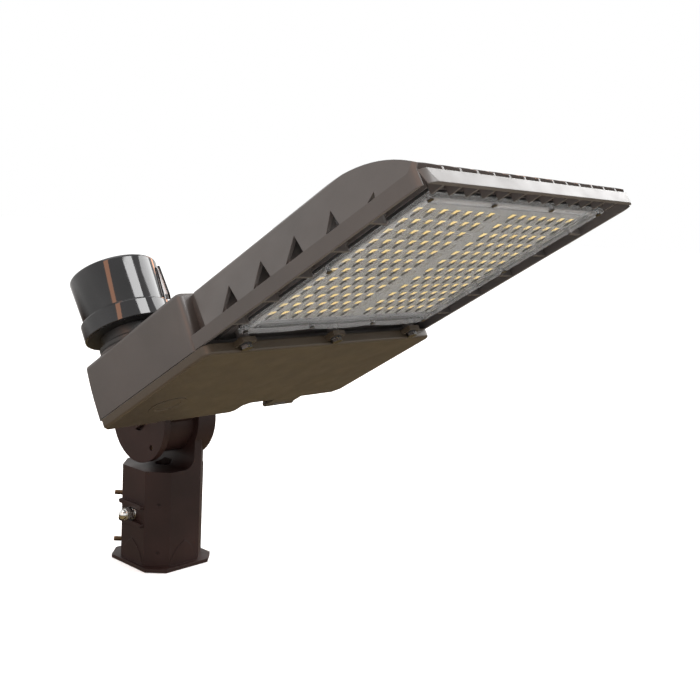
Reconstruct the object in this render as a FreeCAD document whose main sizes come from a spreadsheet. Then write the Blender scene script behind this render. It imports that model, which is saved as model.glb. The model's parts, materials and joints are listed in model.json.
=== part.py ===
"""Shoebox area light on an adjustable slip fitter, as a parametric document in millimetres.

The slip fitter stands on +Z with its origin at the mouth of the tenon bore. The head is
modelled level in its own frame, whose origin is the knuckle's pivot and whose nose points to
-Y, and is then placed at the pivot and tilted nose up.
"""
import FreeCAD, Part
import math
import os

import Sketcher
from FreeCAD import Placement, Rotation, Vector

doc = FreeCAD.newDocument("area_light")
sheet = doc.addObject("Spreadsheet::Sheet", "Dims")
parts = []


# ---------------------------------------------------------------- driving dimensions
class Size:
    """A length that carries its value and the sheet expression that gives it."""

    def __init__(self, value, text):
        self.value = value
        self.text = text

    def join(self, sign, other, swap=False):
        """Combine two sizes with + - * or /."""
        first, second = (size(other), self) if swap else (self, size(other))
        results = {"+": first.value + second.value, "-": first.value - second.value,
                   "*": first.value * second.value}
        value = results[sign] if sign in results else first.value / second.value
        return Size(value, "(" + first.text + " " + sign + " " + second.text + ")")

    def __add__(self, other):
        return self.join("+", other)

    def __radd__(self, other):
        return self.join("+", other, True)

    def __sub__(self, other):
        return self.join("-", other)

    def __rsub__(self, other):
        return self.join("-", other, True)

    def __mul__(self, other):
        return self.join("*", other)

    def __rmul__(self, other):
        return self.join("*", other, True)

    def __truediv__(self, other):
        return self.join("/", other)

    def __neg__(self):
        return Size(-self.value, "(0 - " + self.text + ")")


def size(number):
    """Turn a plain number into a Size, and leave a Size alone."""
    return number if isinstance(number, Size) else Size(float(number), "(" + repr(float(number)) + ")")


def root(length):
    """Square root of a size."""
    return Size(math.sqrt(length.value), "sqrt(" + length.text + ")")


def dim(name, value, meaning):
    """Put one driving dimension in the sheet and return it as a Size."""
    dim.row += 1
    sheet.set("A%d" % dim.row, meaning)
    sheet.set("B%d" % dim.row, str(value))
    sheet.setAlias("B%d" % dim.row, name)
    return Size(float(value), "Dims." + name)


dim.row = 0
GAP = dim("running_gap", 0.3, "gap between pieces that move past each other")
FIT = dim("pin_clearance", 0.05, "radial clearance of pins and screws in their holes")

# slip fitter
TENON_BORE = dim("tenon_bore_radius", 37.2, "bore for a pole tenon of up to 73 mm")
BORE_DEPTH = dim("tenon_bore_depth", 98, "depth of the tenon bore")
COLUMN_X = dim("column_half_width", 41.3, "half the octagon's width across its side facets")
COLUMN_Y = dim("column_half_depth", 42.3, "half the octagon's depth across its front and rear facets")
COLUMN_CUT = dim("column_corner_cut", 20.5, "octagon corner cut, along each side")
COLUMN_TOP = dim("column_top_height", 113, "top of the octagonal column")
FLANGE_X = dim("flange_half_width", 46.5, "half the width of the bottom flange")
FLANGE_Y = dim("flange_half_depth", 49.5, "half the depth of the bottom flange")
FLANGE_CUT = dim("flange_corner_cut", 17, "flange corner cut")
FLANGE_THICK = dim("flange_thickness", 4, "bottom flange thickness")
PIVOT_HEIGHT = dim("pivot_height", 168.5, "knuckle pivot above the bore's mouth")
PIVOT_BACK = dim("pivot_setback", 1.5, "knuckle pivot behind the column's axis")
TILT = dim("tilt_at_rest", 31.2, "nose-up tilt of the head in the rest pose, degrees")

# knuckle
DISC_R = dim("knuckle_disc_radius", 49.5, "radius of the two clamping discs")
DRUM_R = dim("knuckle_drum_radius", 41, "radius of the drum between the discs")
KNUCKLE_HALF = dim("knuckle_half_width", 36, "half the width over the two discs")
ARM_DISC = dim("arm_disc_thickness", 8, "thickness of the arm's disc")
EAR_THICK = dim("ear_thickness", 25, "thickness of the slip fitter's ear")
PIVOT_R = dim("pivot_bolt_radius", 6, "pivot bolt shank radius")

# head, measured from the pivot along its length (y, negative to the nose), width and height
HALF_W = dim("head_half_width", 153, "half the head's width")
REAR = dim("head_rear_y", -99, "rear wall of the driver box, at its bottom and its mounting pad")
REAR_LEAN = dim("rear_wall_lean", 8.5, "how far the rear wall leans forward by its top")
BOX_FRONT = dim("box_front_y", -271, "front wall of the driver box")
SKIN_REAR = dim("skin_rear_y", -277, "rear end of the side skins at their top")
SKIN_FOOT = dim("skin_foot_y", -293, "rear end of the side skins at the rim")
NOSE = dim("nose_y", -552, "front face of the nose bar")
RIM_BOTTOM = dim("rim_bottom_z", -26.8, "bottom of the rim and of the driver box")
RIM_TOP = dim("rim_top_z", -14, "top of the upright rim strip")
BOX_TOP = dim("box_top_z", 28.5, "top of the driver box")
HUMP_TOP = dim("hump_top_z", 25.2, "top of the fins and side skins")
HUMP_FRONT = dim("hump_front_y", -453.5, "where the hump starts to curve down to the nose")
HUMP_R = dim("hump_radius", 143, "radius of the hump's curve down to the nose")
SHOULDER = dim("shoulder_half_width", 141, "half the width at the top of the side skins")
WALL = dim("casting_wall", 3, "wall thickness of the casting")
BASE_TOP = dim("heat_base_top_z", -13, "top of the heat sink's base plate")
BASE_BOTTOM = dim("heat_base_bottom_z", -19, "face that the light engine is screwed to")
BASE_HALF = dim("heat_base_half_width", 127, "half the width of the heat sink's base plate")
BASE_FRONT = dim("heat_base_front_y", -533, "front edge of the heat sink's base plate")
FIN_PITCH = dim("fin_pitch", 21, "spacing of the lengthwise fins")
FIN_THICK = dim("fin_thickness", 2.4, "fin thickness")
RIB_PITCH = dim("rib_pitch", 42.6, "spacing of the crosswise ribs in the side gaps")
RIB_FIRST = dim("rib_first_y", -320.5, "rearmost crosswise rib")

# light engine
LENS_HALF = dim("lens_half_width", 126, "half the width of the lens frame")
LENS_FRONT = dim("lens_front_y", -532, "front edge of the lens frame")
LENS_REAR = dim("lens_rear_y", -301, "rear edge of the lens frame")
LENS_FACE = dim("lens_face_z", -26, "outer face of the lens frame")
LENS_BACK = dim("lens_back_z", -21.8, "inner face of the lens")
LENS_RECESS = dim("lens_recess_z", -24, "outer face of the recessed optic plate")
LENS_BORDER = dim("lens_border", 7, "width of the lens frame around the recess")
LED_PITCH_X = dim("led_pitch_across", 15.6, "spacing of LEDs across the head")
LED_PITCH_Y = dim("led_pitch_along", 16.1, "spacing of LEDs along the head")
LED_FRONT = dim("led_front_y", -506.4, "first row of LEDs")
LED_SIDE = dim("led_chip_side", 3.5, "side of one LED package")

# driver door
DOOR_TOP = dim("door_top_z", -27.4, "upper edge of the door's tray")
DOOR_REAR = dim("door_rear_y", -101, "rear edge of the door")
DOOR_BOTTOM = dim("door_bottom_z", -37.2, "underside of the door")
DOOR_FRONT = dim("door_front_y", -285, "front face of the door")
NOTCH_X = dim("door_notch_x", 13, "where the door's rear edge steps forward")
NOTCH_Y = dim("door_notch_y", -126, "rear edge of the door beside the step")
HINGE_Y = dim("hinge_y", -102.5, "door hinge axis")
HINGE_Z = dim("hinge_z", -32.6, "door hinge axis height")
HINGE_R = dim("hinge_barrel_radius", 3.4, "hinge knuckle radius")
HINGE_X = dim("hinge_x", 81, "middle of each hinge, from the head's middle")
HINGE_HALF = dim("hinge_half_length", 21, "half the length of one hinge")
LUG_HALF = dim("hinge_lug_half_length", 8.5, "half the length of the housing's hinge lug")
PIN_R = dim("hinge_pin_radius", 1.5, "hinge pin radius")
SCREW_X = dim("door_screw_x", 114, "outer captive screws, from the head's middle")
SCREW_Y = dim("door_screw_y", -291, "captive screws")
LUG_UNDER = dim("screw_lug_under_z", -32.7, "underside of the captive screws' lugs")
PORT_X = dim("sensor_port_x", -111, "sensor port in the door")
PORT_Y = dim("sensor_port_y", -157, "sensor port in the door")
PORT_R = dim("sensor_port_radius", 17, "sensor port radius")

# photocell
CELL_X = dim("photocell_x", -115.5, "photocell axis")
CELL_Y = dim("photocell_y", -142.5, "photocell axis")
CELL_SEAT = dim("photocell_seat_z", 47, "underside of the photocell")
CAP_R = dim("cap_radius", 43.7, "photocell cap radius at its top")
CAP_LOW_R = dim("cap_low_radius", 41.6, "photocell cap radius above its skirt")
SKIRT_R = dim("cap_skirt_radius", 45.2, "photocell skirt radius")
SKIRT_TALL = dim("cap_skirt_height", 19, "photocell skirt height")
CAP_TALL = dim("cap_height", 65, "photocell height")
WINDOW_TURN = dim("window_heading", -38, "heading of the photocell's window, degrees")
SOCKET_R = dim("socket_body_radius", 27, "receptacle body radius")
SOCKET_FLANGE_R = dim("socket_flange_radius", 34.5, "receptacle flange radius")
doc.recompute()

NORMALS = {"XY_Plane": 1, "XZ_Plane": -1, "YZ_Plane": 1}
PIVOT = Placement(Vector(0, PIVOT_BACK.value, PIVOT_HEIGHT.value), Rotation())
HEAD = PIVOT.multiply(Placement(Vector(), Rotation(Vector(1, 0, 0), -TILT.value)))
POLE = Placement()


# ---------------------------------------------------------------- drawing helpers
def new_body(name, place=POLE, at=(0, 0, 0)):
    """Start a sub-part's body, in the frame that it belongs to."""
    body = doc.addObject("PartDesign::Body", name)
    body.Label = name
    body.AllowCompound = True
    body.Placement = place.multiply(Placement(Vector(*[size(c).value for c in at]), Rotation()))
    return body


def plane_of(body, role):
    """One of the body's own origin planes or axes."""
    return [f for f in body.Origin.OriginFeatures if f.Role == role][0]


def new_sketch(body, name, plane, offset, turn=0):
    """A sketch on an origin plane, moved along its normal and turned about its second axis."""
    sketch = body.newObject("Sketcher::SketchObject", name)
    sketch.AttachmentSupport = [(plane_of(body, plane), "")]
    sketch.MapMode = "FlatFace"
    swing = Rotation(Vector(0, 1, 0), turn)
    sketch.AttachmentOffset = Placement(swing.multVec(Vector(0, 0, offset.value)), swing)
    if not turn:
        sketch.setExpression("AttachmentOffset.Base.z", offset.text)
    return sketch


def bind(sketch, constraint, length):
    """Add a dimension to a sketch and tie it to the sheet."""
    index = sketch.addConstraint(constraint)
    sketch.setExpression("Constraints[%d]" % index, length.text)


def pin_down(sketch, geometry, end, x, y):
    """Fix a point of the sketch at x, y."""
    bind(sketch, Sketcher.Constraint("DistanceX", -1, 1, geometry, end, x.value), x)
    bind(sketch, Sketcher.Constraint("DistanceY", -1, 1, geometry, end, y.value), y)


def arc_between(start, end, radius, left):
    """Arc from start to end, with its centre to the left or right of the way there."""
    chord = end - start
    side = Vector(-chord.y, chord.x, 0).normalize()
    rise = math.sqrt(radius ** 2 - (chord.Length / 2) ** 2)
    middle = start + chord / 2 + side * (rise if left else -rise)
    a, b = (start, end) if left else (end, start)
    angles = [math.atan2(p.y - middle.y, p.x - middle.x) for p in (a, b)]
    return Part.ArcOfCircle(Part.Circle(middle, Vector(0, 0, 1), radius), angles[0], angles[1])


def draw_loop(sketch, corners):
    """Closed outline: each corner is (x, y) or (x, y, radius, left) where an arc leaves it."""
    points = [Vector(size(c[0]).value, size(c[1]).value, 0) for c in corners]
    ends = []
    for number, corner in enumerate(corners):
        start, end = points[number], points[(number + 1) % len(points)]
        if len(corner) == 2:
            geometry = sketch.addGeometry(Part.LineSegment(start, end))
            ends.append((geometry, 1, 2))
        else:
            radius, left = size(corner[2]), corner[3]
            geometry = sketch.addGeometry(arc_between(start, end, radius.value, left))
            bind(sketch, Sketcher.Constraint("Radius", geometry, radius.value), radius)
            ends.append((geometry, 1, 2) if left else (geometry, 2, 1))
    for number, (geometry, start, end) in enumerate(ends):
        follower = ends[(number + 1) % len(ends)]
        sketch.addConstraint(Sketcher.Constraint("Coincident", geometry, end, follower[0], follower[1]))
        pin_down(sketch, geometry, start, size(corners[number][0]), size(corners[number][1]))


def draw_circle(sketch, x, y, radius):
    """Circle with its centre at x, y."""
    x, y, radius = size(x), size(y), size(radius)
    circle = Part.Circle(Vector(x.value, y.value, 0), Vector(0, 0, 1), radius.value)
    geometry = sketch.addGeometry(circle)
    bind(sketch, Sketcher.Constraint("Radius", geometry, radius.value), radius)
    pin_down(sketch, geometry, 3, x, y)


def draw(sketch, shapes):
    """Circles are given as (x, y, radius), other outlines as lists of corners."""
    for shape in shapes:
        if isinstance(shape, tuple):
            draw_circle(sketch, *shape)
        else:
            draw_loop(sketch, shape)


def solid(body, name, plane, low, high, shapes, cut=False, turn=0):
    """Pad, or with cut a pocket, of an outline between two levels along the plane's axis."""
    low, high = size(low), size(high)
    offset = low if NORMALS[plane] > 0 else -high
    sketch = new_sketch(body, name + "_sketch", plane, offset, turn)
    draw(sketch, shapes)
    feature = body.newObject("PartDesign::Pocket" if cut else "PartDesign::Pad", name)
    feature.Profile = sketch
    feature.Type = 0
    feature.setExpression("Length", (high - low).text)
    feature.Reversed = cut
    return feature


def spin(body, name, corners, cut=False):
    """Full turn of an outline in radius and height about the body's Z axis."""
    sketch = new_sketch(body, name + "_sketch", "XZ_Plane", size(0))
    draw(sketch, [corners])
    feature = body.newObject("PartDesign::Groove" if cut else "PartDesign::Revolution", name)
    feature.Profile = sketch
    feature.ReferenceAxis = (sketch, ["V_Axis"])
    feature.Angle = 360
    return feature


def round_edges(body, name, base, radius, chosen):
    """Fillet the edges of the base feature that the test chooses."""
    doc.recompute()
    names = ["Edge%d" % (i + 1) for i, edge in enumerate(base.Shape.Edges) if chosen(edge)]
    if not names:
        raise RuntimeError(name + ": no edge to round")
    fillet = body.newObject("PartDesign::Fillet", name)
    fillet.Base = (base, names)
    fillet.setExpression("Radius", size(radius).text)
    return fillet


def repeat(body, name, feature, axis, pitch, count):
    """Linear pattern of a feature along one of the body's axes."""
    pattern = body.newObject("PartDesign::LinearPattern", name)
    pattern.Originals = [feature]
    pattern.Direction = (plane_of(body, axis), [""])
    pattern.setExpression("Length", (size(pitch) * (count - 1)).text)
    pattern.Occurrences = count
    body.Tip = pattern
    return pattern


def mirror(body, name, features, plane="YZ_Plane"):
    """Mirror features across one of the body's origin planes."""
    copy = body.newObject("PartDesign::Mirrored", name)
    copy.Originals = features
    copy.MirrorPlane = (plane_of(body, plane), [""])
    body.Tip = copy
    return copy


def box(x0, x1, y0, y1):
    """Corners of a rectangle."""
    return [(x0, y0), (x1, y0), (x1, y1), (x0, y1)]


def soft_box(x0, x1, y0, y1, r):
    """Corners of a rectangle with rounded corners."""
    x0, x1, y0, y1, r = [size(c) for c in (x0, x1, y0, y1, r)]
    return [(x0 + r, y0), (x1 - r, y0, r, True), (x1, y0 + r), (x1, y1 - r, r, True),
            (x1 - r, y1), (x0 + r, y1, r, True), (x0, y1 - r), (x0, y0 + r, r, True)]


def octagon(x, y, cut):
    """Corners of a rectangle, given by its half width and depth, with its four corners cut off."""
    a, b = x - cut, y - cut
    return [(-a, -y), (a, -y), (x, -b), (x, b), (a, y), (-a, y), (-x, b), (-x, -b)]


# ---------------------------------------------------------------- primitive helpers
def put(item, place, at, axis="Z"):
    """Place a primitive in its frame, with its length along one axis of that frame."""
    turns = {"Z": Rotation(), "X": Rotation(Vector(0, 1, 0), 90), "Y": Rotation(Vector(1, 0, 0), -90),
             "-Z": Rotation(Vector(1, 0, 0), 180)}
    turn = turns[axis] if isinstance(axis, str) else Rotation(Vector(0, 0, 1), axis)
    item.Placement = place.multiply(Placement(Vector(*[size(c).value for c in at]), turn))
    return item


def rod(name, radius, length, place, at, axis="Z"):
    """Cylinder that starts at a point and runs along an axis."""
    item = doc.addObject("Part::Cylinder", name)
    item.setExpression("Radius", size(radius).text)
    item.setExpression("Height", size(length).text)
    return put(item, place, at, axis)


def hexagon(name, radius, length, place, at, axis="Z"):
    """Hexagonal prism that starts at a point and runs along an axis."""
    item = doc.addObject("Part::Prism", name)
    item.Polygon = 6
    item.setExpression("Circumradius", size(radius).text)
    item.setExpression("Height", size(length).text)
    return put(item, place, at, axis)


def brick(name, low, high, place=HEAD):
    """Box between two corners."""
    item = doc.addObject("Part::Box", name)
    for side, a, b in zip(("Length", "Width", "Height"), low, high):
        item.setExpression(side, (size(b) - size(a)).text)
    return put(item, place, low)


def fuse(name, items):
    """One solid from several."""
    item = doc.addObject("Part::MultiFuse", name)
    item.Shapes = items
    item.Label = name
    return item


def group(name, items):
    """Separate solids that share one node."""
    item = doc.addObject("Part::Compound", name)
    item.Links = items
    item.Label = name
    return item


def carve(name, base, tools):
    """A sub-part with holes or hollows cut by tools."""
    item = doc.addObject("Part::Cut", name)
    item.Base = base
    item.Tool = tools[0] if len(tools) == 1 else fuse(name + "_tools", tools)
    item.Label = name
    return item


def part(item, name=None):
    """Register a finished sub-part."""
    if name:
        item.Label = name
    parts.append(item)
    return item


# ---------------------------------------------------------------- slip fitter
SLOT_LOW = dim("lock_slot_low_z", 53, "lower edge of the lock stud's slot")
SLOT_HIGH = dim("lock_slot_high_z", 69, "upper edge of the lock stud's slot")
SET_LOW = dim("set_screw_low_z", 19.5, "lower pair of tenon set screws")
SET_HIGH = dim("set_screw_high_z", 75.5, "upper pair of tenon set screws")
SET_R = dim("set_screw_radius", 3, "tenon set screw radius")
SET_OUT = dim("set_screw_reach", 11, "how far the set screws stand out")
STUD_R = dim("lock_stud_radius", 4, "lock stud radius")
EAR_FOOT_R = dim("ear_foot_radius", 14, "rounding between the column's top and the ear")
DISC_FACE = KNUCKLE_HALF - EAR_THICK


def slip_fitter():
    """Octagonal casting with flange, tenon bore and one clamping ear on its +X side."""
    body = new_body("slip_fitter_casting")
    solid(body, "flange", "XY_Plane", 0, FLANGE_THICK, [octagon(FLANGE_X, FLANGE_Y, FLANGE_CUT)])
    solid(body, "column", "XY_Plane", FLANGE_THICK, PIVOT_HEIGHT, [octagon(COLUMN_X, COLUMN_Y, COLUMN_CUT)])
    side, above = COLUMN_Y + 5, PIVOT_HEIGHT + 5
    foot = DISC_FACE - EAR_FOOT_R
    open_side = [(-side, COLUMN_TOP), (foot, COLUMN_TOP, EAR_FOOT_R, True),
                 (DISC_FACE, COLUMN_TOP + EAR_FOOT_R), (DISC_FACE, above), (-side, above)]
    solid(body, "above_column", "XZ_Plane", -side, side, [open_side], cut=True)
    outside = box(KNUCKLE_HALF, side, COLUMN_TOP, above)
    solid(body, "beside_ear", "XZ_Plane", -side, side, [outside], cut=True)
    solid(body, "ear", "YZ_Plane", DISC_FACE, KNUCKLE_HALF, [(PIVOT_BACK, PIVOT_HEIGHT, DISC_R)])
    solid(body, "tenon_bore", "XY_Plane", 0, BORE_DEPTH, [(0, 0, TENON_BORE)], cut=True)
    lips(body)
    arches(body)
    return body


def lips(body):
    """Raised upper and lower lips of the lock stud's slot, on the -X facet."""
    reach = dim("lip_height", 5, "how far the slot's lips stand out")
    thick = dim("lip_thickness", 5, "lip thickness")
    half = dim("lip_half_length", 21, "half the length of the slot's lips")
    for name, low in (("lower_lip", SLOT_LOW - thick), ("upper_lip", SLOT_HIGH)):
        outline = soft_box(-half, half, low, low + thick, 2.2)
        solid(body, name, "YZ_Plane", -COLUMN_X - reach, -COLUMN_X + 1, [outline])


def arches(body):
    """Thickened arch at the foot of each main facet."""
    top = dim("arch_height", 31, "top of the arches at the column's foot")
    proud = dim("arch_relief", 0.8, "how far the arches stand out")
    bow = dim("arch_radius", 40, "radius of the arches' flanks")
    for plane, reach, other in (("YZ_Plane", COLUMN_X, COLUMN_Y), ("XZ_Plane", COLUMN_Y, COLUMN_X)):
        half = other - COLUMN_CUT - 1
        outline = [(-half, FLANGE_THICK), (half, FLANGE_THICK, bow, True), (0, top, bow, True)]
        name = "arches_" + plane[:2]
        solid(body, name + "_near", plane, -reach - proud, -reach + 1, [outline])
        solid(body, name + "_far", plane, reach - 1, reach + proud, [outline])


def diagonal(name, radius, length, distance, heading, height):
    """Cylinder that runs outward from the pole's axis, square to a corner facet."""
    away = Vector(math.cos(math.radians(heading)), math.sin(math.radians(heading)), 0)
    item = doc.addObject("Part::Cylinder", name)
    item.setExpression("Radius", size(radius).text)
    item.setExpression("Height", size(length).text)
    start = away * distance.value + Vector(0, 0, height.value)
    item.Placement = Placement(start, Rotation(Vector(0, 0, 1), away))
    return item


FACET_OUT = (COLUMN_X + COLUMN_Y - COLUMN_CUT) / math.sqrt(2)
REAR_CORNERS = (45, 135)
FRONT_CORNERS = (-48, -132)


def make_fitter():
    """The fitter's casting with its drilled holes, and what is screwed into it."""
    tools = [rod("pivot_hole", PIVOT_R + FIT, EAR_THICK + 2, POLE,
                 (DISC_FACE - 1, PIVOT_BACK, PIVOT_HEIGHT), "X"),
             rod("wire_hole", 10, 20, POLE, (0, 0, BORE_DEPTH - 1)),
             rod("stud_hole", STUD_R + FIT, 12, POLE, (-COLUMN_X - 2, 0, (SLOT_LOW + SLOT_HIGH) / 2), "X")]
    screws = []
    for heading in REAR_CORNERS:
        for level, height in (("low", SET_LOW), ("high", SET_HIGH)):
            tag = "%s_%d" % (level, heading)
            tools.append(diagonal("set_hole_" + tag, SET_R + FIT, 15, TENON_BORE - 2, heading, height))
            start = TENON_BORE + 0.3
            reach = FACET_OUT + SET_OUT - start
            screws.append(diagonal("set_screw_" + tag, SET_R, reach, start, heading, height))
    for heading in FRONT_CORNERS:
        for level, height in (("low", SET_LOW), ("high", SET_HIGH)):
            tag = "dimple_%s_%d" % (level, -heading)
            tools.append(diagonal(tag, 1.8, 3, FACET_OUT - 1.2, heading, height))
    casting = slip_fitter()
    part(carve("slip_fitter", casting, tools))
    part(group("tenon_set_screws", screws))


def make_lock_stud():
    """Stud through the -X wall with its washers and domed nut, in the slot."""
    middle = (SLOT_LOW + SLOT_HIGH) / 2
    wall = -COLUMN_X
    stand = dim("lock_washer_stack", 3.4, "thickness of the lock stud's two washers")
    tall = dim("domed_nut_height", 8, "height of the domed nut's hexagon")
    start = wall - stand - tall
    stud = rod("lock_stud", STUD_R, -TENON_BORE - 0.3 - start, POLE, (start, 0, middle), "X")
    part(stud, "tenon_lock_stud")
    for name, low, thick, radius in (("flat_washer", wall - 1.6, 1.6, 7.8),
                                     ("lock_washer", wall - stand, 1.8, 7)):
        ring = rod(name + "_disc", radius, thick, POLE, (low, 0, middle), "X")
        bore = rod(name + "_bore", STUD_R + FIT, 5, POLE, (low - 1, 0, middle), "X")
        part(carve(name, ring, [bore]))
    nut_hex = hexagon("domed_nut_hex", 7.6, tall, POLE, (start, 0, middle), "X")
    dome = doc.addObject("Part::Sphere", "domed_nut_dome")
    dome.setExpression("Radius", size(5.6).text)
    dome.Placement = Placement(Vector((start - 1.2).value, 0, middle.value), Rotation())
    drilled = rod("domed_nut_bore", STUD_R + FIT, tall + 1, POLE, (start, 0, middle), "X")
    part(carve("domed_nut", fuse("domed_nut_blank", [nut_hex, dome]), [drilled]))


def make_pivot_bolt():
    """Bolt, washers and nut that clamp the arm to the fitter's ear."""
    head_tall = dim("pivot_head_height", 7, "pivot bolt head height")
    ear_side = KNUCKLE_HALF
    middle = (PIVOT_BACK, PIVOT_HEIGHT)
    left = -KNUCKLE_HALF + PIVOT_RECESS
    shank = rod("pivot_shank", PIVOT_R, ear_side + 13 - left + 1.8, POLE, (left - 1.8, *middle), "X")
    head = hexagon("pivot_head", 10.5, head_tall, POLE, (left - 1.8 - head_tall, *middle), "X")
    part(fuse("pivot_bolt", [shank, head]))
    for name, start, thick, radius in (("pivot_head_washer", left - 1.8, 1.5, 11.3),
                                       ("pivot_nut_washer", ear_side, 2, 13)):
        disc = rod(name + "_disc", radius, thick, POLE, (start, *middle), "X")
        bore = rod(name + "_bore", PIVOT_R + FIT, 5, POLE, (start - 1, *middle), "X")
        part(carve(name, disc, [bore]))
    nut = hexagon("pivot_nut_hex", 10.5, 9, POLE, (ear_side + 2, *middle), "X")
    bore = rod("pivot_nut_bore", PIVOT_R + FIT, 12, POLE, (ear_side + 1, *middle), "X")
    part(carve("pivot_nut", nut, [bore]))


# ---------------------------------------------------------------- knuckle arm
PIVOT_RECESS = dim("pivot_recess_depth", 5, "depth of the recess for the pivot bolt's head")
ARM_HALF_Z = dim("arm_half_height", 20, "half the arm's height")
ARM_FLANGE = dim("arm_flange_thickness", 8, "thickness of the flange on the driver box")
ARM_SEAL = dim("arm_seal_thickness", 1.5, "seal between the flange and the driver box")
ARM_BOLT_X = dim("arm_bolt_x", 32, "arm bolts from the arm's middle")
ARM_BOLT_Z = dim("arm_bolt_z", 17, "arm bolts above and below the middle")
PAD_HALF = dim("arm_pad_half_width", 45, "half the width of the pad for the arm's flange")
ARM_MID = dim("arm_middle_x", -4, "middle of the arm's flange")


def arm_places():
    """The four arm bolts, in width and height."""
    return [(ARM_MID + side * ARM_BOLT_X, side_z * ARM_BOLT_Z) for side in (-1, 1) for side_z in (-1, 1)]


def make_arm():
    """Arm casting: clamping disc and drum on the pivot, neck, and flange on the driver box."""
    body = new_body("knuckle_arm_casting", HEAD)
    drum_end = DISC_FACE - GAP
    disc_end = -KNUCKLE_HALF + ARM_DISC
    solid(body, "disc", "YZ_Plane", -KNUCKLE_HALF, disc_end, [(0, 0, DISC_R)])
    solid(body, "drum", "YZ_Plane", disc_end, drum_end, [(0, 0, DRUM_R)])
    flange_face = REAR + ARM_SEAL + ARM_FLANGE
    neck = [(flange_face - 2, -ARM_HALF_Z - 3), (-DRUM_R, -ARM_HALF_Z), (0, -ARM_HALF_Z),
            (0, ARM_HALF_Z), (-DRUM_R, ARM_HALF_Z), (flange_face - 2, ARM_HALF_Z + 3)]
    neck_body = solid(body, "neck", "YZ_Plane", disc_end + 1, drum_end, [neck])
    round_edges(body, "neck_rounding", neck_body, 5,
                lambda e: abs(e.Vertexes[0].Z) > 19 and e.Length > 40 and e.BoundBox.YMax < 0
                and e.BoundBox.ZMax - e.BoundBox.ZMin < 8 and e.BoundBox.XMax - e.BoundBox.XMin < 1)
    flange = soft_box(ARM_MID - 42, ARM_MID + 42, -25, 25, 8)
    solid(body, "box_flange", "XZ_Plane", REAR + ARM_SEAL, flange_face, [flange])
    rib = [(flange_face - 1, -4), (-DISC_R + 14, -4), (-DISC_R + 14, 4), (flange_face - 1, 4)]
    solid(body, "side_rib", "YZ_Plane", -KNUCKLE_HALF + 1, disc_end + 2, [rib])
    tools = [rod("arm_pivot_bore", PIVOT_R + FIT, 80, HEAD, (-KNUCKLE_HALF - 1, 0, 0), "X"),
             rod("arm_head_recess", 13, PIVOT_RECESS + 1, HEAD, (-KNUCKLE_HALF - 1, 0, 0), "X"),
             rod("arm_wire_hole", 9, 50, HEAD, (ARM_MID, REAR, 0), "Y"),
             brick("arm_pointer", (-KNUCKLE_HALF - 1, -38, -1.2), (-KNUCKLE_HALF + 0.8, -10, 1.2)),
             rod("arm_lock_hole", 3.2, ARM_DISC + 2, HEAD, (-KNUCKLE_HALF - 1, *LOCK_PLACE), "X")]
    for number, (x, z) in enumerate(arm_places()):
        tools.append(rod("arm_bolt_hole_%d" % number, 3.3, 12, HEAD, (x, REAR, z), "Y"))
    part(carve("knuckle_arm", body, tools))


LOCK_PLACE = (-7, -37.5)


def make_arm_hardware():
    """Flange seal, its bolts, and the screw that locks the tilt angle."""
    seal = new_body("arm_flange_seal", HEAD)
    outline = soft_box(ARM_MID - 41, ARM_MID + 41, -24, 24, 7)
    holes = [(x, z, 3.4) for x, z in arm_places()]
    solid(seal, "sheet", "XZ_Plane", REAR, REAR + ARM_SEAL, [outline, (ARM_MID, 0, 9)] + holes)
    part(seal)
    bolts = []
    face = REAR + ARM_SEAL + ARM_FLANGE
    for number, (x, z) in enumerate(arm_places()):
        shank = rod("arm_shank_%d" % number, 3, face - REAR + 9, HEAD, (x, REAR - 9, z), "Y")
        head = hexagon("arm_head_%d" % number, 5.8, 4, HEAD, (x, face, z), "Y")
        bolts.append(fuse("arm_bolt_%d" % number, [shank, head]))
    part(group("arm_bolts", bolts))
    lock = rod("angle_lock_body", 3.2 - FIT, 5, HEAD, (-KNUCKLE_HALF + 2.5, *LOCK_PLACE), "X")
    part(lock, "angle_lock_screw")


# ---------------------------------------------------------------- housing
FIN_COUNT = 13
RIB_COUNT = 5
# each side notch: its foot behind and before its rib, its apex before the rib, and its height
NOTCHES = ((2, 20, 9.3, 19.3), (1, 21.5, 10.7, 19.5), (1.5, 20, 11.3, 18.7), (-4.5, 19.5, 12, 16),
           (-7.5, 15.5, 15.3, 5))
RIB_TOPS = (20, 20, 20, 18, 12)
CELL_HOLE = SOCKET_R + GAP


def hump_end(front):
    """Height of the hump's curve at its front end."""
    run = HUMP_FRONT - front
    return HUMP_TOP - HUMP_R + root(HUMP_R * HUMP_R - run * run)


def under_hump(rear, front, low, drop):
    """Side outline of a plate that fills the space under the hump's curve."""
    run = HUMP_FRONT - front
    reach = HUMP_R - drop
    nose = HUMP_TOP - HUMP_R + root(reach * reach - run * run)
    return [(front, low), (rear, low), (rear, HUMP_TOP - drop), (HUMP_FRONT, HUMP_TOP - drop, reach, True),
            (front, nose)]


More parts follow.
